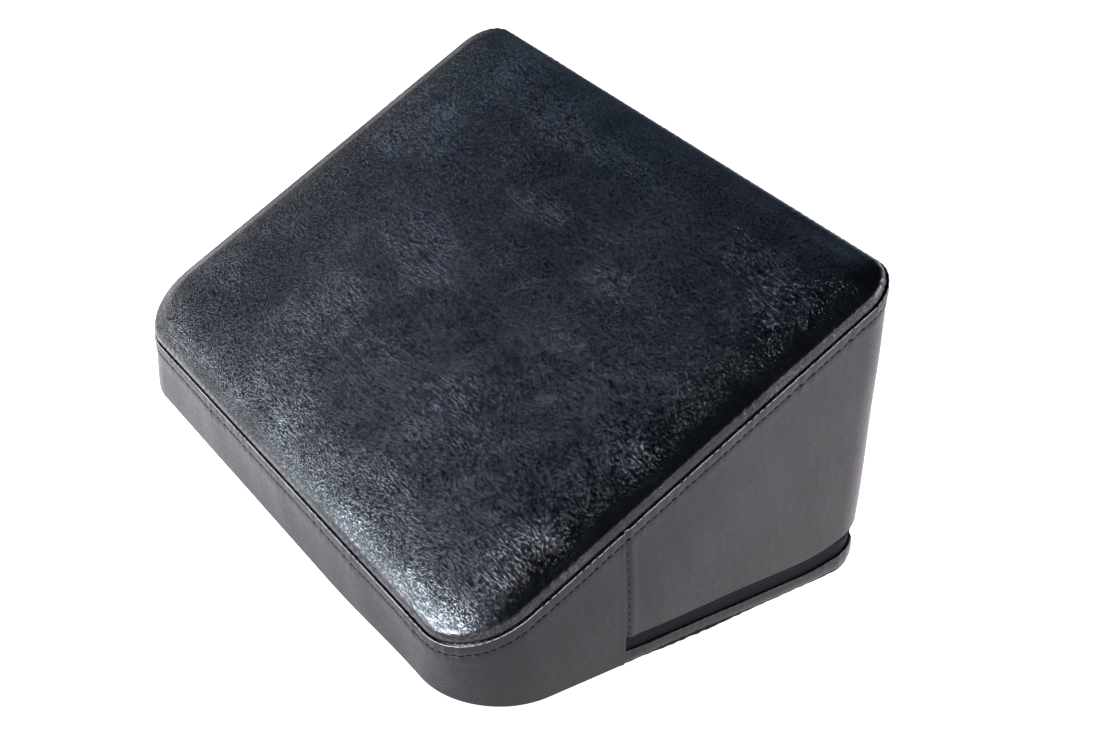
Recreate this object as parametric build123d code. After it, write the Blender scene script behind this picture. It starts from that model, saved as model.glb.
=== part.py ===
from build123d import *
import math
import os

# A wedge cushion in a zip-off leather cover. Millimetres, +Z up. The origin is the middle of
# the flat underside, on the surface it rests on. -Y is the low front, +Y the high back.

# ---- driving dimensions ----
WIDTH = 400.0              # side to side
BASE_DEPTH = 250.0         # front to back along the underside
FRONT_SEAM_HEIGHT = 33.5   # top seam above the floor at the front
TOP_SLOPE_DEG = 27.5       # tilt of the top seam's plane
REAR_LEAN_DEG = 4.0        # the back wall leans outwards as it rises
FRONT_CORNER_R = 40.0
REAR_CORNER_R = 23.0
CROWN = 13.0               # how far the top panel stands above its seam's plane
ROLL_R = 12.0              # round edge of the top panel

LEATHER = 1.2
BASE_FABRIC = 1.2
SIDE_SEAM_Y = -33.0        # where the front band meets the rear band, on both sides
SEAM_GAP = 0.2             # between the edges of two sewn panels
BASE_GAP = 0.1             # between the base fabric and the walls sewn to it
TOP_GAP = 0.15             # between the walls' upper edge and the top panel

ZIP_BAND = (7.8, 17.4)     # heights of the two leather edges beside the zip
ZIP_CENTRE = 12.6

# ---- layers, as distances inwards from the outer surface of the walls ----
THREAD_LAYER = (1.25, 1.55)
FLANGE_LAYER = (1.6, 2.8)
TAPE_LAYER = (1.6, 2.2)
COIL_LAYER = (2.3, 3.5)
SLEEVE_LAYER = (5.0, 5.4)
FOAM_INSET = 5.5
SLEEVE_ROLL = 9.0          # round upper edge of the inner sleeve

# ---- layers under the top panel, as heights above the seam's plane ----
PANEL_TOP = CROWN
SLEEVE_TOP = CROWN - LEATHER - 0.2
WADDING_TOP = SLEEVE_TOP - 0.5
WADDING_BOTTOM = 6.3
COMFORT_TOP = 6.2
COMFORT_BOTTOM = -14.0
CORE_TOP = -14.1

TOP_FLANGE = 8.0           # depth of the top panel's turned-down seam allowance
TOPSTITCH_DROP = 6.0       # the visible stitch row below the top seam
STITCH_WIDTH = 0.8
STITCH_PROUD = 0.4
SURFACE_GAP = 0.05         # between a raised stitch row and the leather under it
HIDDEN_THREAD = 0.6        # height of a hidden stitch row

TAPE_UPPER = (ZIP_CENTRE + 0.3, 27.0)
TAPE_LOWER = (2.5, ZIP_CENTRE - 0.3)
COIL_UPPER = (ZIP_CENTRE + 0.1, ZIP_CENTRE + 2.5)
COIL_LOWER = (ZIP_CENTRE - 2.5, ZIP_CENTRE - 0.1)

# ---- zip slider and pull, on the left side wall at x = -WIDTH / 2 ----
SLIDER_LENGTH = 11.0
SLIDER_WIDTH = 8.4
SLIDER_FRONT_Y = SIDE_SEAM_Y + 1.5
FRONT_PLATE = (0.15, 1.45)     # inset of the slider's outer plate
REAR_PLATE = (3.65, 4.65)      # inset of the slider's inner plate
NECK_LENGTH = 2.4
NECK_WIDTH = 1.6
NOTCH_MARGIN = 0.5             # room the parted coils leave round the neck
BRIDGE_LENGTH = 7.0
BRIDGE_WIDTH = 1.6
BRIDGE_LEG = 1.2
BRIDGE_UNDERSIDE = 2.35        # stand-off from the wall's outer face
BRIDGE_TOP = 3.05
LOCK_LEAF = (1.95, 2.25)
LOCK_PRONG_TIP = -1.2
LOCK_PRONG = 0.5
LOCK_HOLE = 1.0
PULL_LENGTH = 30.0
PULL_WIDTH = 6.0
PULL_THICKNESS = 1.4
PULL_STAND_OFF = 0.95          # hinge axis outside the wall's outer face
PULL_WINDOW = 5.0
PULL_ARM = 1.6                 # each arm beside the window

TAN_SLOPE = math.tan(math.radians(TOP_SLOPE_DEG))
COS_SLOPE = math.cos(math.radians(TOP_SLOPE_DEG))
TAN_LEAN = math.tan(math.radians(REAR_LEAN_DEG))
COS_LEAN = math.cos(math.radians(REAR_LEAN_DEG))
FRONT_Y = -BASE_DEPTH / 2
BACK_Y = BASE_DEPTH / 2
REAR_SEAM_HEIGHT = (FRONT_SEAM_HEIGHT + TAN_SLOPE * BASE_DEPTH) / (1 - TAN_SLOPE * TAN_LEAN)
REAR_SEAM_Y = BACK_Y + REAR_SEAM_HEIGHT * TAN_LEAN
SLOPE_LENGTH = (REAR_SEAM_Y - FRONT_Y) / COS_SLOPE
FAR = 500.0                    # larger than the whole cushion

# The seam's plane: its origin is the middle of the panel, X across, Y up the slope.
SEAM_PLANE = Plane(
    origin=(0, (FRONT_Y + REAR_SEAM_Y) / 2, (FRONT_SEAM_HEIGHT + REAR_SEAM_HEIGHT) / 2),
    x_dir=(1, 0, 0),
    z_dir=(0, -math.sin(math.radians(TOP_SLOPE_DEG)), COS_SLOPE),
)


# ---- shared shapes ----
def walls(inset, low=0.0, top=0.0):
    """The wedge inside the walls, from height low up to the seam's plane raised by top."""
    rise = top / COS_SLOPE
    front = FRONT_Y + inset
    back = BACK_Y - inset / COS_LEAN
    front_z = FRONT_SEAM_HEIGHT + TAN_SLOPE * inset + rise
    seam_at_back = FRONT_SEAM_HEIGHT + TAN_SLOPE * (back - FRONT_Y) + rise
    back_z = seam_at_back / (1 - TAN_SLOPE * TAN_LEAN)
    profile = Polyline(
        (front, low),
        (back + TAN_LEAN * low, low),
        (back + TAN_LEAN * back_z, back_z),
        (front, front_z),
        close=True,
    )
    half = WIDTH / 2 - inset
    side = Plane(origin=(half, 0, 0), x_dir=(0, 1, 0), z_dir=(1, 0, 0)) * make_face(profile)
    block = extrude(side, amount=-2 * half)
    upright = [e for e in block.edges() if abs(e.tangent_at(0.5).Z) > 0.9]
    ends = sorted(upright, key=lambda e: e.center().Y)
    block = fillet(ends[:2], FRONT_CORNER_R - inset)
    upright = [
        e for e in block.edges()
        if abs(e.tangent_at(0.5).Z) > 0.9 and e.center().Y > BASE_DEPTH / 4
        and e.geom_type == GeomType.LINE
    ]
    return fillet(upright, REAR_CORNER_R - inset)


def pad(inset, low, high, roll):
    """The rounded slab on the seam's plane, its upper edge rolled over."""
    outline = Rectangle(WIDTH - 2 * inset, SLOPE_LENGTH - 2 * inset)
    corners = outline.vertices().sort_by(Axis.Y)
    outline = fillet(corners[:2], FRONT_CORNER_R - inset)
    corners = outline.vertices().sort_by(Axis.Y)
    square = [v for v in corners if abs(abs(v.X) - (WIDTH / 2 - inset)) < 0.01 and v.Y > 0]
    outline = fillet(square, REAR_CORNER_R - inset)
    slab = extrude(outline, amount=high)
    slab = fillet(slab.faces().sort_by(Axis.Z)[-1].edges(), roll)
    slab = slab & Box(FAR, FAR, FAR, align=(Align.CENTER, Align.CENTER, Align.MIN)).moved(
        Location((0, 0, low)))
    return SEAM_PLANE * slab


def cushion_form(inset, top, roll, low):
    """The whole wedge with its rolled top, inset everywhere."""
    return walls(inset, low) + pad(inset, 0, top, roll)


def slab_between(low, high):
    """Everything between two heights."""
    return Box(FAR * 2, FAR * 2, high - low, align=(Align.CENTER, Align.CENTER, Align.MIN)).moved(
        Location((0, 0, low)))


def slope_slab(low, high):
    """Everything between two heights above the seam's plane, measured square to it."""
    return SEAM_PLANE * Box(
        FAR * 2, FAR * 2, high - low, align=(Align.CENTER, Align.CENTER, Align.MIN)
    ).moved(Location((0, 0, low)))


def behind(y):
    """Everything behind a plane across the cushion."""
    return Box(FAR * 2, FAR * 2, FAR * 2, align=(Align.CENTER, Align.MIN, Align.CENTER)).moved(
        Location((0, y, 0)))


def shell(layer, low, top=0.0):
    """A wall layer, from height low up to the seam's plane raised by top."""
    outer, inner = layer
    return walls(outer, low, top) - walls(inner, low - 1, top + 5)


def row_below_seam(layer, drop, height):
    """A stitch row round the cushion that follows the sloping top seam."""
    return shell(layer, BASE_FABRIC) & slope_slab(-drop - height / 2, -drop + height / 2)


def zip_strip(layer, heights):
    """A strip behind the side seams, round the two rear corners."""
    low, high = heights
    return shell(layer, low) & slab_between(low, high) & behind(SIDE_SEAM_Y + SEAM_GAP)


def left_box(insets, y_range, z_range):
    """A box on the left side wall. Insets run inwards from the wall's outer face."""
    near, far = insets
    return Box(
        far - near, y_range[1] - y_range[0], z_range[1] - z_range[0],
        align=(Align.MIN, Align.MIN, Align.MIN),
    ).moved(Location((-WIDTH / 2 + near, y_range[0], z_range[0])))


def around_centre(width):
    """The heights of something this wide, centred on the zip."""
    return (ZIP_CENTRE - width / 2, ZIP_CENTRE + width / 2)


# ---- cover ----
def top_panel():
    outer = pad(0, 0, PANEL_TOP, ROLL_R)
    inner = pad(LEATHER, -1, PANEL_TOP - LEATHER, ROLL_R - LEATHER)
    dome = outer - inner
    rim = (walls(0.6, BASE_FABRIC, LEATHER) - walls(FLANGE_LAYER[1], 0, LEATHER + 5)) & slope_slab(
        0, LEATHER)
    flange = shell(FLANGE_LAYER, BASE_FABRIC, LEATHER) & slope_slab(-TOP_FLANGE, LEATHER)
    return dome + rim + flange


def full_walls():
    return shell((0, LEATHER), BASE_FABRIC + BASE_GAP, -TOP_GAP)


def front_band():
    return full_walls() - behind(SIDE_SEAM_Y)


def rear_band():
    return full_walls() & behind(SIDE_SEAM_Y + SEAM_GAP) & slab_between(ZIP_BAND[1], FAR)


def base_strip():
    return full_walls() & behind(SIDE_SEAM_Y + SEAM_GAP) & slab_between(0, ZIP_BAND[0])


def base_panel():
    return walls(0) & slab_between(0, BASE_FABRIC)


# ---- stitching ----
def topstitch_thread():
    return row_below_seam((-SURFACE_GAP - STITCH_PROUD, -SURFACE_GAP), TOPSTITCH_DROP, STITCH_WIDTH)


def top_seam_thread():
    return row_below_seam(THREAD_LAYER, 1.2, HIDDEN_THREAD)


def side_seam_thread(side):
    """The stitch row just behind the front band's folded edge on one side wall."""
    face = WIDTH / 2 + SURFACE_GAP
    row_y = SIDE_SEAM_Y + 2.0
    row = Box(STITCH_PROUD, STITCH_WIDTH, FAR, align=(Align.MIN, Align.MIN, Align.MIN)).moved(
        Location((face if side > 0 else -face - STITCH_PROUD, row_y, ZIP_BAND[1] + 1)))
    return row & slope_slab(-FAR, -TOPSTITCH_DROP - 1.5)


def hidden_row(height):
    """The stitch row that holds a zip tape, inside the leather."""
    return zip_strip(THREAD_LAYER, (height, height + HIDDEN_THREAD))


def base_seam_thread():
    low = BASE_FABRIC + BASE_GAP
    return shell(THREAD_LAYER, low) & slab_between(low, low + HIDDEN_THREAD)


# ---- zip ----
def neck_room():
    """The room round the slider's neck, where the two coils part."""
    return left_box(
        (TAPE_LAYER[0] - 1, COIL_LAYER[1] + 1),
        (SIDE_SEAM_Y - 1, SLIDER_FRONT_Y + NECK_LENGTH + NOTCH_MARGIN),
        around_centre(NECK_WIDTH + 2 * NOTCH_MARGIN),
    )


def zip_tape(heights):
    return zip_strip(TAPE_LAYER, heights) - neck_room()


def zip_coil(heights):
    return zip_strip(COIL_LAYER, heights) - neck_room()


def slider_body():
    end = SLIDER_FRONT_Y + SLIDER_LENGTH
    y_range = (SLIDER_FRONT_Y, end)
    front = left_box(FRONT_PLATE, y_range, around_centre(SLIDER_WIDTH))
    front = fillet(front.edges().filter_by(Axis.X), 2.0)
    lock_y = SLIDER_FRONT_Y + SLIDER_LENGTH / 2 - BRIDGE_LENGTH / 2 + BRIDGE_LEG + 0.1
    front -= left_box(
        (FRONT_PLATE[0] - 1, FRONT_PLATE[1] + 1),
        (lock_y, lock_y + LOCK_HOLE), around_centre(LOCK_HOLE + 0.2))
    rear = left_box(REAR_PLATE, y_range, around_centre(SLIDER_WIDTH))
    rear = fillet(rear.edges().filter_by(Axis.X), 2.0)
    neck = left_box(
        (FRONT_PLATE[1] - 0.2, REAR_PLATE[0] + 0.2),
        (SLIDER_FRONT_Y, SLIDER_FRONT_Y + NECK_LENGTH), around_centre(NECK_WIDTH))
    return front + rear + neck


def bridge_span():
    middle = SLIDER_FRONT_Y + SLIDER_LENGTH / 2
    return (middle - BRIDGE_LENGTH / 2, middle + BRIDGE_LENGTH / 2)


def slider_bridge():
    low, high = bridge_span()
    arch = left_box((-BRIDGE_TOP, FRONT_PLATE[0]), (low, high), around_centre(BRIDGE_WIDTH))
    tops = [e for e in arch.edges().filter_by(Axis.Z) if e.center().X < -WIDTH / 2 - BRIDGE_TOP / 2]
    arch = fillet(tops, 0.6)
    return arch - left_box(
        (-BRIDGE_UNDERSIDE, FRONT_PLATE[0] + 1),
        (low + BRIDGE_LEG, high - BRIDGE_LEG), around_centre(BRIDGE_WIDTH + 1))


def slider_lock_spring():
    low, high = bridge_span()
    start = low + BRIDGE_LEG + 0.2
    width = around_centre(0.8)
    leaf = left_box(
        (-LOCK_LEAF[1], -LOCK_LEAF[0]), (start, high - BRIDGE_LEG - 0.1), width)
    prong = left_box((-LOCK_LEAF[1], -LOCK_PRONG_TIP), (start, start + LOCK_PRONG), width)
    return leaf + prong


def pull_tab():
    axis_y = SLIDER_FRONT_Y + SLIDER_LENGTH / 2
    half = PULL_THICKNESS / 2
    layer = (-PULL_STAND_OFF - half, -PULL_STAND_OFF + half)
    tab = left_box(layer, (axis_y, axis_y + PULL_LENGTH), around_centre(PULL_WIDTH))
    far_edges = [e for e in tab.edges().filter_by(Axis.X) if e.center().Y > axis_y + 1]
    tab = fillet(far_edges, 2.2)
    tab -= left_box(
        (layer[0] - 1, layer[1] + 1), (axis_y - 1, axis_y + half + PULL_WINDOW),
        around_centre(PULL_WIDTH - 2 * PULL_ARM))
    low, high = around_centre(PULL_WIDTH)
    bar = Cylinder(half, high - low, align=(Align.CENTER, Align.CENTER, Align.MIN)).moved(
        Location((-WIDTH / 2 - PULL_STAND_OFF, axis_y, low)))
    return tab + bar


# ---- filling ----
def inner_sleeve():
    outer, inner = SLEEVE_LAYER
    low = BASE_FABRIC + 0.3
    thickness = inner - outer
    skin = cushion_form(outer, SLEEVE_TOP, SLEEVE_ROLL, low)
    return skin - cushion_form(inner, SLEEVE_TOP - thickness, SLEEVE_ROLL - thickness, low - 1)


def filling_form():
    """Everything inside the sleeve."""
    return cushion_form(FOAM_INSET, WADDING_TOP, SLEEVE_ROLL - 0.4, BASE_FABRIC + 0.3)


def top_wadding():
    return filling_form() & slope_slab(WADDING_BOTTOM, FAR)


def comfort_foam():
    return filling_form() & slope_slab(COMFORT_BOTTOM, COMFORT_TOP)


def foam_core():
    return walls(FOAM_INSET, BASE_FABRIC + 0.3, CORE_TOP)


parts = {
    "top_panel": top_panel(),
    "front_band": front_band(),
    "rear_band": rear_band(),
    "base_strip": base_strip(),
    "base_panel": base_panel(),
    "topstitch_thread": topstitch_thread(),
    "top_seam_thread": top_seam_thread(),
    "side_seam_thread_left": side_seam_thread(-1),
    "side_seam_thread_right": side_seam_thread(1),
    "base_seam_thread": base_seam_thread(),
    "zip_seam_thread_upper": hidden_row(ZIP_BAND[1] + 1.6),
    "zip_seam_thread_lower": hidden_row(ZIP_BAND[0] - 2.2),
    "zip_tape_upper": zip_tape(TAPE_UPPER),
    "zip_tape_lower": zip_tape(TAPE_LOWER),
    "zip_coil_upper": zip_coil(COIL_UPPER),
    "zip_coil_lower": zip_coil(COIL_LOWER),
    "slider_body": slider_body(),
    "slider_bridge": slider_bridge(),
    "slider_lock_spring": slider_lock_spring(),
    "pull_tab": pull_tab(),
    "inner_sleeve": inner_sleeve(),
    "top_wadding": top_wadding(),
    "comfort_foam": comfort_foam(),
    "foam_core": foam_core(),
}

os.makedirs("parts", exist_ok=True)
for node, solid in parts.items():
    export_step(solid, f"parts/{node}.step")
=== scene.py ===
import math

import bpy
import numpy as np
from mathutils import Matrix, Vector, kdtree


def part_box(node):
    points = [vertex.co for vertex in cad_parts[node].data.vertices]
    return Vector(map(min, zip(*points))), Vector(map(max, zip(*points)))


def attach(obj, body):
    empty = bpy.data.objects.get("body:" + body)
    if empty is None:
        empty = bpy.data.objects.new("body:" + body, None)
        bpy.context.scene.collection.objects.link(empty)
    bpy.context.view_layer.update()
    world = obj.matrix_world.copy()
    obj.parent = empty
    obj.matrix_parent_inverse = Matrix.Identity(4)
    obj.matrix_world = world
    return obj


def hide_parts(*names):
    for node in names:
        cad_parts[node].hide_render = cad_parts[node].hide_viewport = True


# A black leather wedge cushion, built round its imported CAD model. Metres, +Z up.
# The origin is the middle of the flat underside; -Y is the low front and +X the right side.

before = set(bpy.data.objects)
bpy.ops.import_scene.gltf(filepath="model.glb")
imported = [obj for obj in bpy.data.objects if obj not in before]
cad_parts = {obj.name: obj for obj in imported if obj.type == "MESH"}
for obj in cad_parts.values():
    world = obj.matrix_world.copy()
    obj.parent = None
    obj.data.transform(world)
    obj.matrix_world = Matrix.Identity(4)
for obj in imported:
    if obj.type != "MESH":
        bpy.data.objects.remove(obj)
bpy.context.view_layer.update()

MM = 0.001

# ---- sizes read from the CAD ----
base_low, base_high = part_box("base_panel")
front_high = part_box("front_band")[1]
rear_low, rear_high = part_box("rear_band")
strip_low, strip_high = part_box("base_strip")

HALF_WIDTH = base_high.x
FRONT_Y = base_low.y
BACK_Y = base_high.y
REAR_SEAM_Y = rear_high.y
SIDE_SEAM_Y = front_high.y
SLOPE = (rear_high.z - front_high.z) / (rear_high.y - front_high.y)
SLOPE_ANGLE = math.atan(SLOPE)
COS_SLOPE = math.cos(SLOPE_ANGLE)
FLOOR_Z = base_low.z
WALL_FOOT = strip_low.z
STRIP_TOP = strip_high.z
ZIP_TOP = rear_low.z

# ---- the sewn outline ----
SEAM_PULL = 3.0 * MM          # the top seam lies this far inside the foot on both sides
SEAM_FRONT_R = 39.0 * MM
SEAM_BACK_R = 22.6 * MM
FOOT_FRONT_R = 46.8 * MM
FOOT_BACK_R = 22.6 * MM
STITCH_PITCH = 4.3 * MM
COLUMNS_PER_STITCH = 4
PART_STEPS = 80               # points in each part of the outline before it is measured
LEATHER = 1.0 * MM

# ---- the padded top ----
EDGE_START = (1.2 * MM, 0.4 * MM)   # inward and upward from the seam line, where the skin turns up
ROLL_LEAN = math.radians(45)        # the tight roll, over by ROLL_END along the skin
ROLL_START = 2.2 * MM
ROLL_END = 9.0 * MM
SOFT_LEAN = math.radians(43)        # the slow rise after it
SOFT_REACH = 8.8 * MM
CROWN = 3.0 * MM
RING_REACH = 16.5 * MM        # width of the mesh zone that runs parallel to the seam
FINE_ROWS = 24                # its rows nearest the seam, which have twice the columns

UP_SLOPE = np.array([0.0, COS_SLOPE, math.sin(SLOPE_ANGLE)])
SLOPE_NORMAL = np.array([0.0, -math.sin(SLOPE_ANGLE), COS_SLOPE])


def seam_height(y):
    """Height of the top seam above the floor."""
    return front_high.z + SLOPE * (y - front_high.y) + 0.15 * MM / COS_SLOPE


# ---- smooth random shapes, the same in every run ----
def hum(distance, wavelength, seed, terms=5):
    """A smooth random wave along the closed top seam, from about -1 to 1."""
    rng = np.random.default_rng(seed)
    total = np.zeros_like(distance)
    for _ in range(terms):
        cycles = max(1, round(SEAM_LENGTH / wavelength * rng.uniform(0.7, 1.4)))
        total += np.sin(2 * np.pi * (cycles * distance / SEAM_LENGTH + rng.uniform()))
    return total / math.sqrt(terms)


def swell(points, wavelength, seed, terms=6):
    """A smooth random value in space, from about -1 to 1."""
    rng = np.random.default_rng(seed)
    total = np.zeros(points.shape[:-1])
    for _ in range(terms):
        direction = rng.normal(size=3)
        direction /= np.linalg.norm(direction)
        scale = 2 * np.pi / (wavelength * rng.uniform(0.7, 1.5))
        total += np.sin(points @ direction * scale + rng.uniform(0, 2 * np.pi))
    return total / math.sqrt(terms)


def bell(distance, width):
    return np.exp(-((distance / width) ** 2))


def ease(value, start, end):
    """0 before start, 1 after end, smooth between."""
    t = np.clip((value - start) / (end - start), 0, 1)
    return t * t * (3 - 2 * t)


# ---- the outline, measured along the top seam ----
def straight(start, end):
    return np.linspace(start, end, PART_STEPS, endpoint=False)


def quarter(centre, radius, start_deg):
    angle = np.radians(np.linspace(start_deg, start_deg + 90, PART_STEPS, endpoint=False))
    return np.c_[centre[0] + radius * np.cos(angle), centre[1] + radius * np.sin(angle)]


def outline(half, front, back, front_r, back_r):
    """A rounded rectangle from the left side seam round the front and back again, in ten parts."""
    parts = [
        straight((-half, SIDE_SEAM_Y), (-half, front + front_r)),
        quarter((-half + front_r, front + front_r), front_r, 180),
        straight((-half + front_r, front), (half - front_r, front)),
        quarter((half - front_r, front + front_r), front_r, 270),
        straight((half, front + front_r), (half, SIDE_SEAM_Y)),
        straight((half, SIDE_SEAM_Y), (half, back - back_r)),
        quarter((half - back_r, back - back_r), back_r, 0),
        straight((half - back_r, back), (-half + back_r, back)),
        quarter((-half + back_r, back - back_r), back_r, 90),
        straight((-half, back - back_r), (-half, SIDE_SEAM_Y)),
    ]
    loop = np.vstack(parts)
    return np.vstack([loop, loop[:1]])


def unit(vectors):
    return vectors / np.linalg.norm(vectors, axis=-1, keepdims=True)


seam_plan = outline(HALF_WIDTH - SEAM_PULL, FRONT_Y, REAR_SEAM_Y, SEAM_FRONT_R, SEAM_BACK_R)
foot_plan = outline(HALF_WIDTH, FRONT_Y, BACK_Y, FOOT_FRONT_R, FOOT_BACK_R)
seam_loop = np.c_[seam_plan, seam_height(seam_plan[:, 1])]
foot_loop = np.c_[foot_plan, np.full(len(foot_plan), FLOOR_Z)]
seam_steps = np.linalg.norm(np.diff(seam_loop, axis=0), axis=1)
seam_measure = np.r_[0, np.cumsum(seam_steps)]
SEAM_LENGTH = seam_measure[-1]
FRONT_LENGTH = seam_measure[5 * PART_STEPS]     # from the left side seam to the right one
STITCHES = round(SEAM_LENGTH / STITCH_PITCH)
PITCH = SEAM_LENGTH / STITCHES


def tangents(loop):
    """Direction of travel at each point of a closed loop."""
    inner = loop[:-1]
    ahead = np.roll(inner, -2, axis=0)
    behind = np.roll(inner, 2, axis=0)
    along = unit(ahead - behind)
    return np.vstack([along, along[:1]])


seam_along = tangents(seam_loop)
foot_along = tangents(foot_loop)


def sample(values, distance):
    """A loop's values at distances along the top seam."""
    at = np.mod(distance, SEAM_LENGTH)
    return np.stack([np.interp(at, seam_measure, values[:, k]) for k in range(3)], axis=-1)


def columns(distance):
    """Seam points, foot points and outward directions of the walls at distances along the seam."""
    top = sample(seam_loop, distance)
    foot = sample(foot_loop, distance)
    along = sample(seam_along, distance) + sample(foot_along, distance)
    outward = np.c_[along[:, 1], -along[:, 0], np.zeros(len(along))]
    return top, foot, unit(outward)


def up_wall(top, foot, height):
    """Points between the foot and the seam, at one height above the floor in each column."""
    return foot + (top - foot) * (height / top[:, 2])[:, None]


# ---- meshes ----
def quad_list(quads):
    return [tuple(quad) for quad in quads.reshape(-1, 4).tolist()]


def ring_quads(start, count, rows):
    """Faces between neighbouring rings of the same number of points."""
    a = start + np.arange(rows - 1)[:, None] * count
    b = a + count
    j = np.arange(count)[None, :]
    following = (j + 1) % count
    return quad_list(np.stack([a + j, a + following, b + following, b + j], axis=-1))


def swept(sections):
    """Faces that join neighbouring cross-sections, each a closed ring, and the two ends."""
    count, ring = sections.shape[:2]
    start = (count - 1) * ring
    ends = [tuple(range(ring)), tuple(range(start + ring - 1, start - 1, -1))]
    i = np.arange(count - 1)[:, None] * ring
    j = np.arange(ring)[None, :]
    following = (j + 1) % ring
    quads = np.stack([i + j, i + ring + j, i + ring + following, i + following], axis=-1)
    return quad_list(quads) + ends


def add_mesh(name, points, faces, smooth=True):
    mesh = bpy.data.meshes.new(name)
    mesh.from_pydata(np.asarray(points, float).reshape(-1, 3).tolist(), [], faces)
    mesh.update()
    if smooth:
        mesh.polygons.foreach_set("use_smooth", [True] * len(mesh.polygons))
    piece = bpy.data.objects.new(name, mesh)
    bpy.context.scene.collection.objects.link(piece)
    return piece


def sewn_strip(name, distance, sections, drops):
    """A strip from its cross-sections. Each point keeps its sewn place for the materials: how
    far along the seam it is, how far below the seam or from an edge, and its height."""
    piece = add_mesh(name, sections, swept(sections))
    along = np.broadcast_to(distance[:, None], drops.shape)
    places = np.stack([along, drops, sections[..., 2]], axis=-1)
    layer = piece.data.attributes.new("sewn", "FLOAT_VECTOR", "POINT")
    layer.data.foreach_set("vector", places.astype(np.float32).reshape(-1))
    return piece


def store_corners(piece, places):
    """Keeps sewn places with the corners of faces instead. In a face that crosses the end of
    the seam, the distance along it goes on past the end."""
    mesh = piece.data
    corner_points = np.zeros(len(mesh.loops), np.int32)
    mesh.loops.foreach_get("vertex_index", corner_points)
    corner_places = places[corner_points]
    totals = np.zeros(len(mesh.polygons), np.int32)
    mesh.polygons.foreach_get("loop_total", totals)
    owner = np.repeat(np.arange(len(totals)), totals)
    farthest = np.full(len(totals), -np.inf)
    np.maximum.at(farthest, owner, corner_places[:, 0])
    behind = corner_places[:, 0] < farthest[owner] - SEAM_LENGTH / 2
    corner_places[behind, 0] += SEAM_LENGTH
    layer = mesh.attributes.new("sewn", "FLOAT_VECTOR", "CORNER")
    layer.data.foreach_set("vector", corner_places.astype(np.float32).reshape(-1))


def hand_over(piece, stands_for, material):
    """Rides a finished piece on the cushion, gives it its material and hides the CAD part it stands
    for.
    """
    piece.data.materials.append(material)
    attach(piece, "cushion")
    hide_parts(stands_for)


# ---- walls ----
# (down, inset) pairs in millimetres: the leather's fold at the top seam and under the foot
TOP_HEM = [(2.6, 2.2), (1.5, 1.5), (0.8, 1.02), (0.3, 0.82), (0.03, 0.58), (0.0, 0.32), (0.12, 0.1)]
FOOT_HEM = [(0.2, 0.1), (0.02, 0.4), (0.05, 0.85), (0.4, 1.15)]
FRONT_FOOT = 0.4 * MM         # the front wall's lower edge
FRONT_ROWS, REAR_ROWS = 14, 62
INNER_EVERY = 9               # the wall's inner face has a row for every ninth outer one
FOLD_RADIUS = 0.8 * MM
DITCH = 2.0 * MM              # the side seams' stitches lie this far behind the fold
DITCH_DEPTH = 0.95 * MM
DITCH_WIDTH = 2.2 * MM
TOPSTITCH_DROP = 5.6 * MM
FRONT_PUSH = 2.3 * MM
RIGHT_TUCK = 2.7 * MM
TUCK_FROM, TUCK_TO = 60 * MM, 150 * MM

REAR_CORNERS = [seam_measure[round(k * PART_STEPS)] for k in (6.5, 8.5)]
REAR_LIFT = 8.5 * MM
REAR_LIFT_WIDTH = 27 * MM


def rear_corner(distance):
    """1 in the middle of a rear corner, fading to 0 beside it."""
    return sum(bell(distance - corner, REAR_LIFT_WIDTH) for corner in REAR_CORNERS)


def rear_lift(distance):
    """How much the rear wall's foot rises round the right rear corner, where the foam is rounded.
    The left one, out of sight in the photograph, stays level so that the slider passes."""
    return REAR_LIFT * bell(distance - REAR_CORNERS[0], REAR_LIFT_WIDTH)


def front_push(points, outward, share):
    """The foot of the front wall stands out along the front and tucks in at the right corner."""
    facing = ease(-outward[..., 1], 0.3, 0.95)
    if points.ndim == 3:
        facing = facing[:, None]
    push = FRONT_PUSH - RIGHT_TUCK * ease(points[..., 0], TUCK_FROM, TUCK_TO)
    return push * facing * (1 - share)


def wall_shape(distance, drop, height, tall, outward, points):
    """How far the leather stands outside the flat wall."""
    stitch = 2 * np.pi * distance / PITCH
    lively = 0.75 + 0.35 * hum(distance, 40 * MM, 3)
    pucker = 0.5 - 0.5 * np.cos(stitch)
    wrinkle = hum(distance, 9 * MM, 5)
    near_seam = np.exp(-drop / (3.2 * MM))
    swelling = np.sin(np.pi * np.clip(drop / TOPSTITCH_DROP, 0, 1))
    shape = 0.42 * MM * swelling * lively
    shape += 0.2 * MM * near_seam * lively * (pucker - 0.5)
    shape += 0.22 * MM * wrinkle * bell(drop - 4 * MM, 4 * MM)
    shape += 0.3 * MM * np.exp(-drop / (1.6 * MM))
    groove = bell(drop - TOPSTITCH_DROP, 0.75 * MM)
    shape -= 0.5 * MM * groove * (0.7 + 0.3 * np.cos(stitch))
    shape += 0.25 * MM * lively * bell(drop - 8.5 * MM, 2.2 * MM) * (0.6 + 0.4 * pucker)
    share = np.clip(height / tall, 0, 1)
    shape += front_push(points, outward, share)
    middle = np.sin(np.pi * share)
    bulge = 1.7 * MM * middle * ease(tall, 25 * MM, 90 * MM)
    shape += bulge * (1 - 0.8 * rear_corner(distance))
    shape += 0.7 * MM * swell(points, 85 * MM, 11) * middle
    shape += 0.22 * MM * swell(points * np.array([1, 1, 0.45]), 26 * MM, 12) * middle
    return shape


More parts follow.
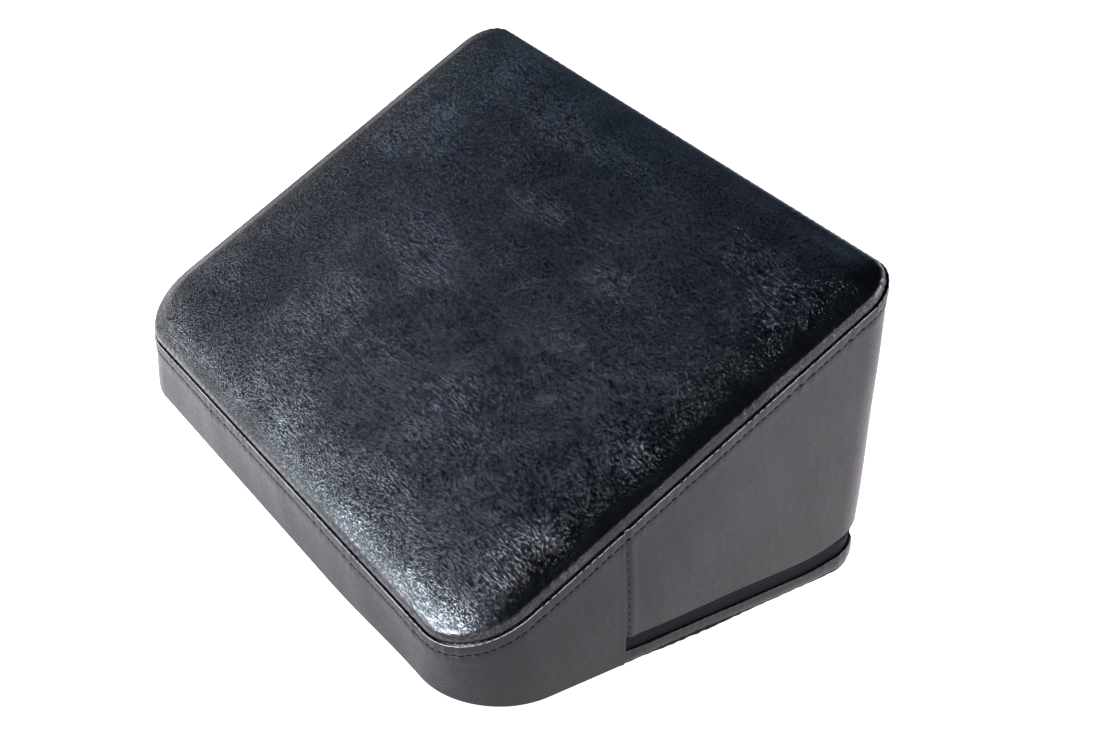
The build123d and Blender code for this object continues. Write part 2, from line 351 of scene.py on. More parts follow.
def wall_rows(tall, low, middle_rows):
    """Heights of a wall's rows at every column, from just under the seam to its foot.
    They lie close together near both, and evenly spaced between."""
    top = np.r_[0.32, 0.6, 0.95:10.9:0.4, 11.0] * MM
    foot = np.array([3.0, 2.0, 1.3, 0.8, 0.45]) * MM
    heights = [tall - d / COS_SLOPE for d in top]
    upper = tall - top[-1] / COS_SLOPE
    lower = low + foot[0]
    for k in range(1, middle_rows):
        heights.append(upper + (lower - upper) * k / middle_rows)
    heights += [low + e for e in foot]
    return np.stack(heights, axis=1)


def shaped_ends(stand, end, rise, edge_fold):
    """Shapes a wall's ends, in place: folded where it lies on top, pressed down where it doesn't."""
    if edge_fold:
        fold = np.clip(FOLD_RADIUS - end, 0, None)
        stand -= FOLD_RADIUS - np.sqrt(np.clip(FOLD_RADIUS**2 - fold**2, 0, None))
        stand += 0.3 * MM * bell(end - 1.5 * MM, 1.8 * MM) * (0.8 + 0.2 * np.cos(rise))
    else:
        stand -= DITCH_DEPTH * bell(end, DITCH_WIDTH)
        stand -= 0.25 * MM * bell(end - DITCH, 0.8 * MM) * (0.7 + 0.3 * np.cos(rise))
        stand += 0.4 * MM * bell(end - 4.5 * MM, 2.2 * MM)


def hem_rows(top, foot, outward, heights, insets, stand):
    """Rows of a fold: each has its own height, and an inset in millimetres."""
    rows = []
    for height, inset in zip(heights, insets):
        rows.append(up_wall(top, foot, height) + outward * (stand - inset * MM))
    return np.stack(rows, axis=1)


def wall_band(name, distance, low, middle_rows, edge_fold):
    """A leather wall between two side seams, folded under at its top, foot and ends."""
    top, foot, outward = columns(distance)
    tall = top[:, 2]
    low = low + rear_lift(distance)
    heights = wall_rows(tall, low, middle_rows)
    share = heights / tall[:, None]
    flat = foot[:, None, :] + (top - foot)[:, None, :] * share[..., None]
    drop = (tall[:, None] - heights) * COS_SLOPE
    along = np.broadcast_to(distance[:, None], drop.shape)
    tall_all = np.broadcast_to(tall[:, None], drop.shape)
    stand = wall_shape(along, drop, heights, tall_all, outward, flat)
    end = np.minimum(distance - distance[0], distance[-1] - distance)[:, None]
    shaped_ends(stand, end, heights / PITCH * 2 * np.pi, edge_fold)
    outer = flat + outward[:, None, :] * stand[..., None]
    scallop = 0.28 * MM * (0.5 + 0.5 * np.cos(2 * np.pi * distance / PITCH)) ** 3
    downs, insets = zip(*TOP_HEM)
    fold_heights = [tall - down * MM - scallop for down in downs]
    hem = hem_rows(top, foot, outward, fold_heights, insets, stand[:, :1])
    ups, lip_insets = zip(*FOOT_HEM)
    lip = hem_rows(top, foot, outward, [low + up * MM for up in ups], lip_insets, stand[:, -1:])
    inner_rows = np.arange(outer.shape[1] - 4, 4, -INNER_EVERY)
    inner = outer[:, inner_rows] - outward[:, None, :] * LEATHER
    sections = np.concatenate([hem, outer, lip, inner], axis=1)
    hem_drop = np.broadcast_to([-inset * MM for inset in insets], hem.shape[:2])
    lip_drop = np.broadcast_to(drop[:, -1:], lip.shape[:2])
    drops = np.concatenate([hem_drop, drop, lip_drop, drop[:, inner_rows]], axis=1)
    return sewn_strip(name, distance, sections, drops)


def spaced(start, end):
    """Distances from start to end, a quarter stitch apart, with closer ones near both ends."""
    count = round((end - start) / (PITCH / COLUMNS_PER_STITCH))
    even = np.linspace(start, end, count + 1)[1:-1]
    near = np.array([0, 0.12, 0.28, 0.5, 0.75]) * MM
    return np.r_[start + near, even, end - near[::-1]]


# ---- padded top ----
def pad_columns(nx, ny):
    """Distances of the pad's columns along the seam. The four corners are in mid-curve."""
    marks = [seam_measure[round(k * PART_STEPS)] for k in (1.5, 3.5, 6.5, 8.5)]
    counts = [nx, ny, nx, ny]
    ends = marks[1:] + [marks[0] + SEAM_LENGTH]
    runs = [np.linspace(a, b, n, endpoint=False) for a, b, n in zip(marks, ends, counts)]
    return np.concatenate(runs)


def slope_coordinates(points):
    """Places on the slope: across, and up from the front seam."""
    offset = points - np.array([0, FRONT_Y, seam_height(FRONT_Y)])
    return offset[..., 0], offset @ UP_SLOPE


SLOPE_LENGTH = (REAR_SEAM_Y - FRONT_Y) / COS_SLOPE


def edge_profile():
    """The skin's cross-section from the seam inwards: distances in, and heights above the plane."""
    step = 0.05 * MM
    path = np.arange(0, 90 * MM, step)
    lean = ROLL_LEAN * (1 - ease(path, ROLL_START, ROLL_END)) + SOFT_LEAN * np.exp(-path / SOFT_REACH)
    inward = EDGE_START[0] + np.cumsum(np.cos(lean)) * step
    height = EDGE_START[1] + np.cumsum(np.sin(lean)) * step
    return path, inward, height


EDGE_PATH, EDGE_IN, EDGE_UP = edge_profile()


def crown_height(points):
    across, up = slope_coordinates(points)
    wide = 1 - (across / (HALF_WIDTH - SEAM_PULL)) ** 2
    deep = 1 - (2 * up / SLOPE_LENGTH - 1) ** 2
    return CROWN * np.clip(wide, 0, 1) ** 0.8 * np.clip(deep, 0, 1) ** 0.8


def soft_max(a, b, width):
    gap = np.abs(a - b)
    return np.maximum(a, b) + np.clip(width - gap, 0, None) ** 2 / (4 * width)


def edge_distance(points):
    """How far inside the seam a point of the slope is."""
    across, up = slope_coordinates(points)
    middle = up - SLOPE_LENGTH / 2
    corner = np.where(middle < 0, SEAM_FRONT_R, SEAM_BACK_R)
    x = np.abs(across) - (HALF_WIDTH - SEAM_PULL) + corner
    y = np.abs(middle) - SLOPE_LENGTH / 2 + corner
    outside = np.hypot(np.clip(x, 0, None), np.clip(y, 0, None))
    inside = np.minimum(soft_max(x, y, 40 * MM), 0)
    return corner - outside - inside


def skin_height(inward, points):
    """Height of the padded skin above the seam's plane."""
    return np.interp(inward, EDGE_IN, EDGE_UP) + crown_height(points) * ease(inward, 0, 30 * MM)


def pad_rows(fine):
    """The cross-section of the pad's edge as (inward, height) pairs, without the crown."""
    if not fine:
        path = np.array([0, 3, 6, 9, 12, 15.2]) * MM
    else:
        path = np.r_[0:5:0.5, 5:9:0.5, 9.2:21:1.0] * MM
    ins = np.interp(path, EDGE_PATH, EDGE_IN)
    ups = np.interp(path, EDGE_PATH, EDGE_UP)
    rows = [(a, b) for a, b in zip(ins, ups) if a < RING_REACH - 0.5 * MM]
    if not fine:
        return rows
    # (inward, height) in millimetres, where the panel turns down into the seam
    tuck = [(3.4, -1.6), (3.1, -0.6), (2.6, 0.0), (2.05, 0.25), (1.65, 0.42), (1.42, 0.6)]
    return [(a * MM, b * MM) for a, b in tuck] + rows


def inward_on_slope(distance):
    along = sample(seam_along, distance)
    return unit(np.cross(SLOPE_NORMAL, along))


def inside_points(edge, nx, ny):
    """Points inside a closed edge whose corners are at 0, nx, nx + ny and 2 nx + ny."""
    south = edge[: nx + 1]
    east = edge[nx : nx + ny + 1]
    north = edge[nx + ny : 2 * nx + ny + 1][::-1]
    west = np.vstack([edge[2 * nx + ny :], edge[:1]])[::-1]
    s = np.linspace(0, 1, nx + 1)[None, :, None]
    t = np.linspace(0, 1, ny + 1)[:, None, None]
    sides = (1 - t) * south[None] + t * north[None] + (1 - s) * west[:, None] + s * east[:, None]
    corners = (1 - s) * (1 - t) * south[0] + s * (1 - t) * south[-1]
    corners = corners + (1 - s) * t * north[0] + s * t * north[-1]
    return (sides - corners)[1:-1, 1:-1].reshape(-1, 3)


def patch_index(edge_start, inner_start, nx, ny):
    """Point numbers of a patch whose edge is a ring and whose inside is listed by rows."""
    ring = edge_start + np.arange(2 * (nx + ny))
    index = np.zeros((ny + 1, nx + 1), int)
    index[0] = ring[: nx + 1]
    index[:, -1] = ring[nx : nx + ny + 1]
    index[-1] = ring[nx + ny : 2 * nx + ny + 1][::-1]
    index[:, 0] = np.r_[ring[2 * nx + ny :], ring[0]][::-1]
    index[1:-1, 1:-1] = inner_start + np.arange((nx - 1) * (ny - 1)).reshape(ny - 1, nx - 1)
    return index


def grid_quads(index):
    corners = [index[:-1, :-1], index[:-1, 1:], index[1:, 1:], index[1:, :-1]]
    return quad_list(np.stack(corners, axis=-1))


def pad_ring(distance, row):
    """One row of the pad's edge: its points, and their (along, inward, lift) for the materials."""
    inward, up = row
    place = sample(seam_loop, distance) + inward_on_slope(distance) * inward
    lift = up + crown_height(place) * ease(inward, 0, 30 * MM)
    path = np.stack([distance, np.full_like(distance, inward), lift], -1)
    return place + SLOPE_NORMAL * np.asarray(lift)[..., None], path


def halved_quads(start, count):
    """Faces between a ring of twice the columns and the next one inside it."""
    inner = start + 2 * count
    faces = []
    for j in range(count):
        nxt = (j + 1) % count
        fine = (start + 2 * j, start + 2 * j + 1, start + 2 * nxt)
        faces.append((*fine, inner + nxt, inner + j))
    return faces


def pad_surface(nx, ny, fine):
    """Points and faces of the padded top. The fine one has twice the columns near the seam."""
    rows = pad_rows(fine)
    split = FINE_ROWS if fine else 0
    count = 2 * (nx + ny)
    coarse = pad_columns(nx, ny)
    following = np.r_[coarse[1:], coarse[0] + SEAM_LENGTH]
    doubled = np.stack([coarse, (coarse + following) / 2], axis=1).reshape(-1)
    rings = [pad_ring(doubled if k < split else coarse, row) for k, row in enumerate(rows)]
    points = [shape for shape, _ in rings]
    sewn = [path for _, path in rings]
    faces = []
    if fine:
        faces += ring_quads(0, 2 * count, split) + halved_quads((split - 1) * 2 * count, count)
    total = split * 2 * count
    faces += ring_quads(total, count, len(rows) - split)
    edge_start = total + (len(rows) - split - 1) * count
    flat_edge = sample(seam_loop, coarse) + inward_on_slope(coarse) * rows[-1][0]
    inside = inside_points(flat_edge, nx, ny)
    lift = skin_height(edge_distance(inside), inside)
    points.append(inside + SLOPE_NORMAL * lift[:, None])
    inward = np.maximum(edge_distance(inside), RING_REACH)
    sewn.append(np.stack([np.zeros(len(inside)), inward, lift], -1))
    faces += grid_quads(patch_index(edge_start, edge_start + count, nx, ny))
    return np.vstack(points), faces, np.vstack(sewn)


PAD_ACROSS = 240              # columns of the finished skin, across and up the slope
PAD_ALONG = 160
INNER_STEP = 8                # fine columns to one column of its inner face


def pad_details(points, sewn):
    """Puckers and small folds sewn into the pad's edge."""
    distance, inward, lift = sewn.T
    near = inward < RING_REACH
    outward = -inward_on_slope(distance)
    stitch = 2 * np.pi * distance / PITCH
    tight = np.exp(-np.clip(lift, 0, None) / (2.6 * MM))
    strong = 0.6 + 0.4 * hum(distance, 60 * MM, 22)
    fold = hum(distance, 7.5 * MM, 21) * strong
    fine = hum(distance, 2.2 * MM, 23)
    shape = 0.07 * MM * np.cos(stitch) * tight
    shape += 0.22 * MM * fold * np.exp(-((lift - 3.5 * MM) / (3.5 * MM)) ** 2)
    shape += 0.09 * MM * fine * bell(lift - 2 * MM, 2.2 * MM)
    shape *= near * ease(lift, 0.3 * MM, 1.2 * MM)
    moved = points + outward * shape[:, None]
    wave = 0.3 * MM * swell(points, 90 * MM, 31) + 0.03 * MM * swell(points, 26 * MM, 32)
    wave *= ease(lift, 2 * MM, 9 * MM)
    return moved + SLOPE_NORMAL * wave[:, None]


PRESS_ACROSS = 60             # columns of the simulated copy
PRESS_ALONG = 40
PRESS_FRAMES = 20
PRESS_MOST = 3.0 * MM         # cap on how far a point may rise
PRESS_SETTINGS = {
    "quality": 6,
    "mass": 0.2,
    "tension_stiffness": 20,
    "compression_stiffness": 20,
    "shear_stiffness": 8,
    "bending_stiffness": 1.5,
    "vertex_group_mass": "seam",
    "use_pressure": True,
    "uniform_pressure_force": 4.0,
    "shrink_min": -0.02,
}
FIELD_STEP = 7 * MM
FIELD_PASSES = 5


def pressed_skin():
    """Cloth simulation: the skin, held at the seam, is pressed out by the foam under it.
    Returns the points of the resting skin and how far each one rose."""
    points, faces = pad_surface(PRESS_ACROSS, PRESS_ALONG, False)[:2]
    skin = add_mesh("pressed_skin", points, faces)
    held = skin.vertex_groups.new(name="seam")
    held.add(list(range(2 * (PRESS_ACROSS + PRESS_ALONG))), 1.0, "REPLACE")
    press = skin.modifiers.new("press", "CLOTH")
    for key, value in PRESS_SETTINGS.items():
        setattr(press.settings, key, value)
    press.settings.effector_weights.gravity = 0
    press.collision_settings.use_collision = False
    press.point_cache.frame_start = 1
    press.point_cache.frame_end = PRESS_FRAMES
    scene = bpy.context.scene
    for number in range(1, PRESS_FRAMES + 1):
        scene.frame_set(number)
    result = skin.evaluated_get(bpy.context.evaluated_depsgraph_get()).to_mesh()
    moved = np.empty(len(points) * 3)
    result.vertices.foreach_get("co", moved)
    bpy.data.objects.remove(skin)
    scene.frame_set(1)
    rise = (moved.reshape(-1, 3) - points) @ SLOPE_NORMAL
    return points, np.clip(rise, 0, PRESS_MOST)


def spline_weights(t):
    """The four cubic B-spline weights at t between two grid lines."""
    second = (3 * t**3 - 6 * t**2 + 4) / 6
    third = (1 + 3 * t + 3 * t**2 - 3 * t**3) / 6
    return [(1 - t) ** 3 / 6, second, third, t**3 / 6]


def smooth_field(places, values, wanted):
    """Spreads values known at some slope points over others, through a smooth grid."""
    step = FIELD_STEP
    across, up = slope_coordinates(places)
    columns_x = np.arange(-HALF_WIDTH - 2 * step, HALF_WIDTH + 3 * step, step)
    rows_y = np.arange(-2 * step, SLOPE_LENGTH + 3 * step, step)
    tree = kdtree.KDTree(len(places))
    for k in range(len(places)):
        tree.insert((across[k], up[k], 0), k)
    tree.balance()
    grid = np.zeros((len(rows_y), len(columns_x)))
    for j, y in enumerate(rows_y):
        for i, x in enumerate(columns_x):
            found = tree.find_n((x, y, 0), 4)
            weight = np.array([1 / (gap + 1 * MM) ** 2 for _, k, gap in found])
            grid[j, i] = np.sum(weight * values[[k for _, k, gap in found]]) / np.sum(weight)
    for _ in range(FIELD_PASSES):
        padded = np.pad(grid, 1, mode="edge")
        grid = (padded[:-2, 1:-1] + 2 * padded[1:-1, 1:-1] + padded[2:, 1:-1]) / 4
        padded = np.pad(grid, 1, mode="edge")
        grid = (padded[1:-1, :-2] + 2 * padded[1:-1, 1:-1] + padded[1:-1, 2:]) / 4
    across, up = slope_coordinates(wanted)
    at_x = (across - columns_x[0]) / step
    at_y = (up - rows_y[0]) / step
    i = np.clip(np.floor(at_x).astype(int), 1, len(columns_x) - 3)
    j = np.clip(np.floor(at_y).astype(int), 1, len(rows_y) - 3)
    total = np.zeros(len(wanted))
    for b, wy in enumerate(spline_weights(at_y - j)):
        for a, wx in enumerate(spline_weights(at_x - i)):
            total += wy * wx * grid[j + b - 1, i + a - 1]
    return total


def skin_ring(distance, inward, depth, cap=1.0):
    """A ring under the padded skin, this far in from the seam and this deep, no higher than cap."""
    edge = sample(seam_loop, distance)
    place = edge + inward_on_slope(distance) * inward
    lift = np.minimum(skin_height(np.full(len(place), inward), place) - depth, cap)
    return place + SLOPE_NORMAL * lift[:, None]


def skin_patch(distance, nx, ny, inward, depth, cap=1.0):
    """The points inside such a ring."""
    edge = sample(seam_loop, distance) + inward_on_slope(distance) * inward
    inside = inside_points(edge, nx, ny)
    lift = np.minimum(skin_height(edge_distance(inside), inside) - depth, cap)
    return inside + SLOPE_NORMAL * lift[:, None]


def padded_top():
    """The top panel: a rolled, crowned skin with its inner face, turned down into the seam."""
    points, faces, sewn = pad_surface(PAD_ACROSS, PAD_ALONG, True)
    rise = smooth_field(*pressed_skin(), points) * ease(sewn[:, 1], 3 * MM, 16 * MM)
    points = points + SLOPE_NORMAL * rise[:, None]
    points = pad_details(points, sewn)
    nx, ny = 2 * PAD_ACROSS // INNER_STEP, 2 * PAD_ALONG // INNER_STEP
    count = 2 * (nx + ny)
    fine_count = count * INNER_STEP
    distance = pad_columns(nx, ny)
    start = len(points)
    rings = [skin_ring(distance, 4.3 * MM, 7.0 * MM)]
    rings += [skin_ring(distance, inward * MM, 1.1 * MM) for inward in (4.6, 6.5, 9.0, 13.0)]
    for j in range(count):
        nxt = (j + 1) % count
        fine = [(j * INNER_STEP + k) % fine_count for k in range(INNER_STEP, -1, -1)]
        faces.append(tuple(fine + [start + j, start + nxt]))
    faces += [q[::-1] for q in ring_quads(start, count, len(rings))]
    edge_start = start + (len(rings) - 1) * count
    patch = patch_index(edge_start, edge_start + count, nx, ny)
    faces += [q[::-1] for q in grid_quads(patch)]
    inside = skin_patch(distance, nx, ny, 13.0 * MM, 1.1 * MM)
    added = np.vstack(rings + [inside])
    points = np.vstack([points, added])
    inner_sewn = np.tile([0.0, 1.0, 0.0], (len(added), 1))
    piece = add_mesh("top_pad", points, faces)
    store_corners(piece, np.vstack([sewn, inner_sewn]))
    return piece


# ---- layers inside the cover ----
INNER_ACROSS = 60             # columns of the hidden layers
INNER_ALONG = 40
INNER_COLUMNS = pad_columns(INNER_ACROSS, INNER_ALONG)


def wall_ring(inset, height=None, level=None):
    """A ring inside the walls, at one height or at one level under the seam's plane."""
    top, foot, outward = columns(INNER_COLUMNS)
    z = np.full(len(top), height) if level is None else top[:, 2] + level / COS_SLOPE
    return up_wall(top, foot, z) - outward * inset


def flat_patch(ring):
    return inside_points(ring, INNER_ACROSS, INNER_ALONG)


def block(rings, under, over):
    """Points and faces of a closed layer from its bottom ring to its top ring."""
    count = len(INNER_COLUMNS)
    faces = ring_quads(0, count, len(rings))
    under_start = count * len(rings)
    over_start = under_start + len(under)
    bottom = patch_index(0, under_start, INNER_ACROSS, INNER_ALONG)
    top = patch_index(count * (len(rings) - 1), over_start, INNER_ACROSS, INNER_ALONG)
    faces += [q[::-1] for q in grid_quads(bottom)] + grid_quads(top)
    return np.vstack(rings + [under, over]), faces


def between(first, last, count):
    return [first + (last - first) * k / count for k in range(1, count)]


def inner_rings(inwards, depth, cap=1.0):
    """Rings under the skin, for insets in millimetres."""
    return [skin_ring(INNER_COLUMNS, inward * MM, depth, cap) for inward in inwards]


def inner_patch(inward, depth, cap=1.0):
    return skin_patch(INNER_COLUMNS, INNER_ACROSS, INNER_ALONG, inward, depth, cap)


def foam_wedge():
    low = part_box("foam_core")[0].z
    bottom = wall_ring(6.5 * MM, height=low)
    sides = [wall_ring(5.6 * MM, height=low + 1.2 * MM), wall_ring(5.6 * MM, level=-15.4 * MM)]
    top = wall_ring(6.6 * MM, level=-14.3 * MM)
    rings = [bottom, sides[0], *between(*sides, 10), sides[1], top]
    rings = [r + 0.25 * MM * swell(r, 30 * MM, 61)[:, None] for r in rings[:-1]] + rings[-1:]
    return block(rings, flat_patch(bottom), flat_patch(top))


def comfort_layer():
    bottom = wall_ring(6.4 * MM, level=-14.0 * MM)
    sides = [wall_ring(5.6 * MM, level=level * MM) for level in (-13.2, -9.0, -5.0, -1.0)]
    tops = inner_rings((6.4, 8.0, 10.0, 14.0), 2.4 * MM, 6.0 * MM)
    over = inner_patch(14.0 * MM, 2.4 * MM, 6.0 * MM)
    return block([bottom, *sides, *tops], flat_patch(bottom), over)


def wadding_layer():
    unders = inner_rings((14.0, 10.0, 8.0, 6.6), 2.25 * MM, 6.15 * MM)
    overs = inner_rings((6.5, 8.0, 10.0, 14.0), 1.75 * MM)
    under = inner_patch(14.0 * MM, 2.25 * MM, 6.15 * MM)
    return block([*unders, *overs], under, inner_patch(14.0 * MM, 1.75 * MM))


def sleeve_skin(inset, depth, lift):
    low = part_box("inner_sleeve")[0].z + lift
    bottom = wall_ring(inset + 0.8 * MM, height=low)
    sides = [wall_ring(inset, height=low + 0.8 * MM), wall_ring(inset, level=-1.0 * MM)]
    tops = inner_rings((5.6, 7.0, 10.0, 14.0), depth)
    rings = [bottom, sides[0], *between(*sides, 10), sides[1], *tops]
    return block(rings, flat_patch(bottom), inner_patch(14.0 * MM, depth))


def cloth_sleeve():
    """A thin bag: its outer skin, and its inner skin turned the other way."""
    points, faces = sleeve_skin(5.0 * MM, 1.3 * MM, 0.0)
    inner_points, inner_faces = sleeve_skin(5.3 * MM, 1.55 * MM, 0.3 * MM)
    shift = len(points)
    faces += [tuple(v + shift for v in face[::-1]) for face in inner_faces]
    return np.vstack([points, inner_points]), faces


# ---- stitches ----
def capsules(centres, along, outward, length, radius, dive):
    """Short rounded threads that dive into the leather at both ends."""
    rings, sides = 7, 6
    t = np.linspace(-1, 1, rings)
    size = radius * np.sqrt(1 - 0.93 * t**4)
    across = np.cross(along, outward)
    angle = np.arange(sides) * 2 * np.pi / sides
    points = []
    for k in range(rings):
        middle = centres + along * (t[k] * length / 2) - outward * (dive * t[k] ** 2)
        for a in angle:
            rim = outward * math.cos(a) + across * math.sin(a)
            points.append(middle + rim * size[k])
    points = np.stack(points, axis=1)
    ring = rings * sides
    faces = []
    for s in range(len(centres)):
        base = s * ring
        for k in range(rings - 1):
            for j in range(sides):
                m = (j + 1) % sides
                a = base + k * sides
                faces.append((a + j, a + m, a + sides + m, a + sides + j))
        faces.append(tuple(range(base + sides - 1, base - 1, -1)))
        faces.append(tuple(range(base + ring - sides, base + ring)))
    return points.reshape(-1, 3), faces


SEEN_THREAD = 0.3 * MM        # radii
HIDDEN_THREAD = 0.28 * MM
DIVE = 0.4 * MM


def stitch_row(name, centres, along, outward, length, radius=HIDDEN_THREAD, dive=DIVE):
    return add_mesh(name, *capsules(centres, along, outward, length, radius, dive))


def topstitches():
    """The stitch row round the walls, below the top seam."""
    distance = (np.arange(STITCHES) + 0.5) * PITCH
    top, foot, outward = columns(distance)
    tall = top[:, 2]
    height = tall - TOPSTITCH_DROP / COS_SLOPE
    flat = up_wall(top, foot, height)
    drop = np.full_like(tall, TOPSTITCH_DROP)
    stand = wall_shape(distance, drop, height, tall, outward, flat)
    centres = flat + outward * (stand + 0.12 * MM)[:, None]
    along = sample(seam_along, distance)
    along = unit(along - outward * np.sum(along * outward, axis=1)[:, None])
    length, dive = 3.3 * MM, 0.42 * MM
    return stitch_row("top_stitches", centres, along, outward, length, SEEN_THREAD, dive)


def seam_stitches():
    """The row that joins the top panel to the walls, down in the groove."""
    distance = np.arange(STITCHES) * PITCH
    edge = sample(seam_loop, distance)
    inward = inward_on_slope(distance)
    along = sample(seam_along, distance)
    centres = edge + inward * (1.95 * MM) - SLOPE_NORMAL * (1.1 * MM)
    outward = np.tile(SLOPE_NORMAL, (len(edge), 1))
    return stitch_row("seam_stitches", centres, along, outward, 3.4 * MM)


def base_stitches():
    """The hidden row that joins the base fabric to the walls, just inside the foot."""
    distance = np.arange(STITCHES) * PITCH
    foot = sample(foot_loop, distance)
    outward = columns(distance)[2]
    centres = foot - outward * (4.2 * MM)
    centres[:, 2] = FLOOR_Z + 1.6 * MM
    return stitch_row("base_stitches", centres, sample(foot_along, distance), outward, 3.4 * MM)


def side_stitches(name, seam_distance, step_back):
    """The stitch row in the ditch behind a side seam."""
    distance = seam_distance + step_back * DITCH
    top, foot, outward = columns(np.array([distance]))
    tall = top[0, 2]
    high = tall - 8.2 * MM / COS_SLOPE
    count = int((high - ZIP_TOP) / PITCH)
    height = ZIP_TOP + (np.arange(count) + 0.6) * PITCH
    flat = foot + (top - foot) * (height / tall)[:, None]
    outs = np.repeat(outward, count, axis=0)
    drop = (tall - height) * COS_SLOPE
    at = np.full(count, distance)
    stand = wall_shape(at, drop, height, np.full(count, tall), outs, flat)
    stand = stand - DITCH_DEPTH * bell(DITCH, DITCH_WIDTH) - 0.1 * MM
    centres = flat + outs * stand[:, None]
    along = np.repeat(unit(top - foot), count, axis=0)
    return stitch_row(name, centres, along, outs, 3.2 * MM, SEEN_THREAD)


# ---- foot: strip, zip tapes and underside ----
FAR_BELOW = 50 * MM           # told to the leather, so that no seam detail shows on the strip
UPPER_TAPE = (12.66 * MM, 25.0 * MM)       # from its lower to its upper edge
LOWER_TAPE = (3.5 * MM, 12.54 * MM)
TAPE_INSET = 1.62 * MM
TAPE_THICK = 0.5 * MM
# where the base fabric's edge sticks out, and how wide
CLOTH_SHOWS_AT = FRONT_LENGTH + 0.055
CLOTH_SHOWS_WIDTH = 38 * MM
CLOTH_UNDER = 0.25            # the underside's height, as a share of the fabric's thickness
# (height as a share of the thickness, reach in millimetres) of its edge, from its upper face
CLOTH_EDGE = [(1.0, -2.4), (1.02, -1.4), (0.9, -0.75), (0.6, -0.55), (0.32, -0.7), (0.25, -1.6)]


def low_ring(distance, profile, wobble):
    """A closed strip near the floor: its profile is (height, inset) pairs in metres."""
    top, foot, outward = columns(distance)
    raised = rear_lift(distance)
    rows = []
    for height, inset in profile:
        share = 0.15 + 0.45 * min(height / STRIP_TOP, 1.3)
        base = up_wall(top, foot, height + raised * share)
        rows.append(base - outward * (inset - wobble(distance, height))[:, None])
    return np.stack(rows, axis=1)


def foot_strip():
    """The leather strip under the zip, folded at its upper edge."""
    distance = spaced(FRONT_LENGTH, SEAM_LENGTH)

    def wobble(at, height):
        share = min(max((height - WALL_FOOT) / (STRIP_TOP - WALL_FOOT), 0), 1)
        wave = 0.25 * MM * hum(at, 45 * MM, 41)
        wave = wave + 0.1 * MM * hum(at, 8 * MM, 42)
        return wave * share + 0.55 * MM * math.sin(math.pi * share)

    high, low = STRIP_TOP, WALL_FOOT
    outer = [(high - 1.4 * MM, 1.5 * MM), (high - 0.5 * MM, 1.5 * MM), (high - 0.12 * MM, 1.1 * MM)]
    outer += [(high, 0.65 * MM), (high - 0.14 * MM, 0.25 * MM), (high - 0.45 * MM, 0.05 * MM)]
    outer += [(high - d * MM, 0.0) for d in (0.9, 1.6, 2.4, 3.2, 4.0, 4.8, 5.5)]
    outer += [(low + 0.5 * MM, 0.1 * MM), (low + 0.1 * MM, 0.45 * MM), (low, 1.0 * MM)]
    inner = [(low + 0.8 * MM, 1.5 * MM), (low + 2.6 * MM, 1.2 * MM)]
    sections = low_ring(distance, outer + inner, wobble)
    return sewn_strip("foot_strip", distance, sections, np.full(sections.shape[:2], FAR_BELOW))


def zip_tape(name, low, high, edge_at_top):
    """A woven tape. The edge that meets its twin bulges slightly outwards."""
    distance = spaced(FRONT_LENGTH, SEAM_LENGTH)
    middle = high if edge_at_top else low

    def inset(height):
        return TAPE_INSET + 0.25 * MM * (1 - math.exp(-abs(height - middle) / (1.2 * MM)))

    def still(at, _):
        return np.zeros_like(at)

    outer = [(height, inset(height)) for height in np.linspace(low, high, 12)]
    inner = [(height, i + TAPE_THICK) for height, i in (outer[-1], outer[6], outer[0])]
    sections = low_ring(distance, outer + inner, still)
    return sewn_strip(name, distance, sections, np.abs(sections[..., 2] - middle))


def underside():
    """The anti-slip base fabric: a thin pad with a rough stitched edge."""
    nx, ny = 200, 125
    distance = pad_columns(nx, ny)
    foot, outward = columns(distance)[1:]
    mirrored = SEAM_LENGTH + FRONT_LENGTH - CLOTH_SHOWS_AT
    shows = bell(distance - CLOTH_SHOWS_AT, CLOTH_SHOWS_WIDTH)
    shows = shows + bell(distance - mirrored, CLOTH_SHOWS_WIDTH)
    fray = 0.3 * MM * hum(distance, 3 * MM, 51)
    fray = fray + 0.2 * MM * hum(distance, 11 * MM, 52)
    thick = base_high.z - base_low.z
    rings = []
    for height, reach in CLOTH_EDGE:
        rough = 1.15 * MM * shows + fray * (0.4 + 0.6 * shows)
        out = reach * MM + rough * ease(reach, -1.5, -0.8)
        ring = foot + outward * out[:, None]
        ring[:, 2] = FLOOR_Z + height * thick + 0.1 * rear_lift(distance)
        rings.append(ring)
    count = 2 * (nx + ny)
    last = len(rings) - 1
    faces = [q[::-1] for q in ring_quads(0, count, len(rings))]
    below = inside_points(rings[last], nx, ny)
    below[:, 2] = FLOOR_Z + CLOTH_UNDER * thick
    above = inside_points(rings[0], nx, ny)
    above[:, 2] = FLOOR_Z + thick
    start = len(rings) * count
    faces += [q[::-1] for q in grid_quads(patch_index(last * count, start, nx, ny))]
    faces += grid_quads(patch_index(0, start + len(below), nx, ny))
    return add_mesh("base_cloth", np.vstack(rings + [below, above]), faces)


